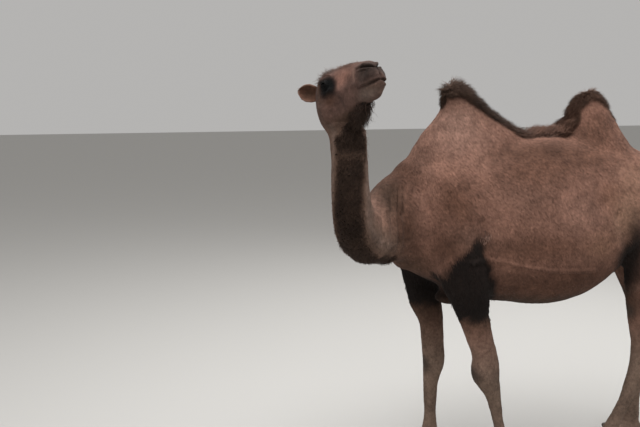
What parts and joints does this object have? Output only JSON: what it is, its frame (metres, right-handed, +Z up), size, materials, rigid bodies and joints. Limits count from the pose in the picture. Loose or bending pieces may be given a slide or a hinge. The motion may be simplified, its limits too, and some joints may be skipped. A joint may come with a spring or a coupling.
{
  "type": "bactrian camel",
  "caption": "Standing two-humped camel in a short summer coat, its neck bent round to the left and its head raised; a still life-size model.",
  "frame": {"origin": "middle of the bounding box, on the floor under the four feet", "axes": "-X towards the camel's front, -Y towards its left side, +Z up"},
  "size_m": [2.1243, 1.0134, 2.0279],
  "materials": {
    "coat": "short matt wool",
    "dark_hair": "long matt hair",
    "pale_leg": "short matt hair",
    "eye": "wet gloss",
    "nail": "dull horn"
  },
  "bodies": {
    "root": {"ear_left": "coat", "ear_right": "coat", "eye_left": "eye", "eye_right": "eye", "foreleg_left_cannon": "pale_leg", "foreleg_left_foot": "pale_leg", "foreleg_left_forearm": "dark_hair", "foreleg_left_toenail_left": "nail", "foreleg_left_toenail_right": "nail", "foreleg_right_cannon": "pale_leg", "foreleg_right_foot": "pale_leg", "foreleg_right_forearm": "dark_hair", "foreleg_right_toenail_left": "nail", "foreleg_right_toenail_right": "nail", "head": "coat", "hindleg_left_cannon": "pale_leg", "hindleg_left_foot": "pale_leg", "hindleg_left_shank": "coat", "hindleg_left_thigh": "coat", "hindleg_left_toenail_left": "nail", "hindleg_left_toenail_right": "nail", "hindleg_right_cannon": "pale_leg", "hindleg_right_foot": "pale_leg", "hindleg_right_shank": "coat", "hindleg_right_thigh": "coat", "hindleg_right_toenail_left": "nail", "hindleg_right_toenail_right": "nail", "hump_front": "coat", "hump_rear": "coat", "lower_jaw": "coat", "neck_lower": "coat", "neck_upper": "coat", "tail": "dark_hair", "trunk": "coat"}
  },
  "joints": []
}
